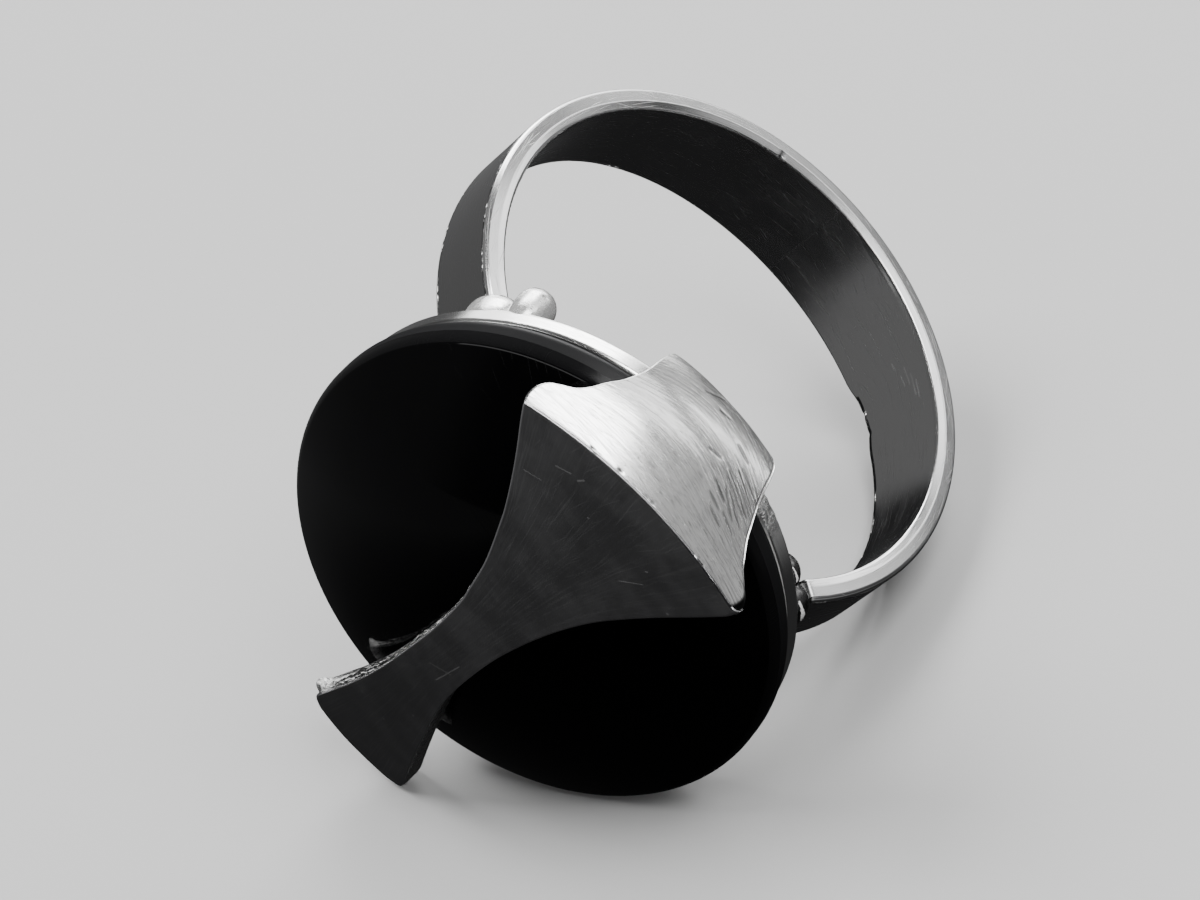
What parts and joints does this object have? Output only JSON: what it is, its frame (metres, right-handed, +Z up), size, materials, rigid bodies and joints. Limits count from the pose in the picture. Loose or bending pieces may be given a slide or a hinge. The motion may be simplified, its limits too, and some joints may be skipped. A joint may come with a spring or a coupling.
{
  "type": "onyx ring",
  "caption": "Silver finger ring with a round domed onyx in a low collar and a bent silver strap folded over the stone, lying on its side.",
  "frame": {"origin": "middle of the ring's outer box at the height of the table it lies on", "axes": "+Z up from the table, +Y away from the side it is seen from, +X to the right of that view"},
  "size_m": [0.0236, 0.0258, 0.0184],
  "materials": {
    "silver": "silver: bright polished band edges, balls and collar, filed satin strap and flap",
    "onyx": "opaque black onyx, polished to a mirror"
  },
  "bodies": {
    "root": {"silver_setting": "silver", "onyx": "onyx"}
  },
  "joints": []
}
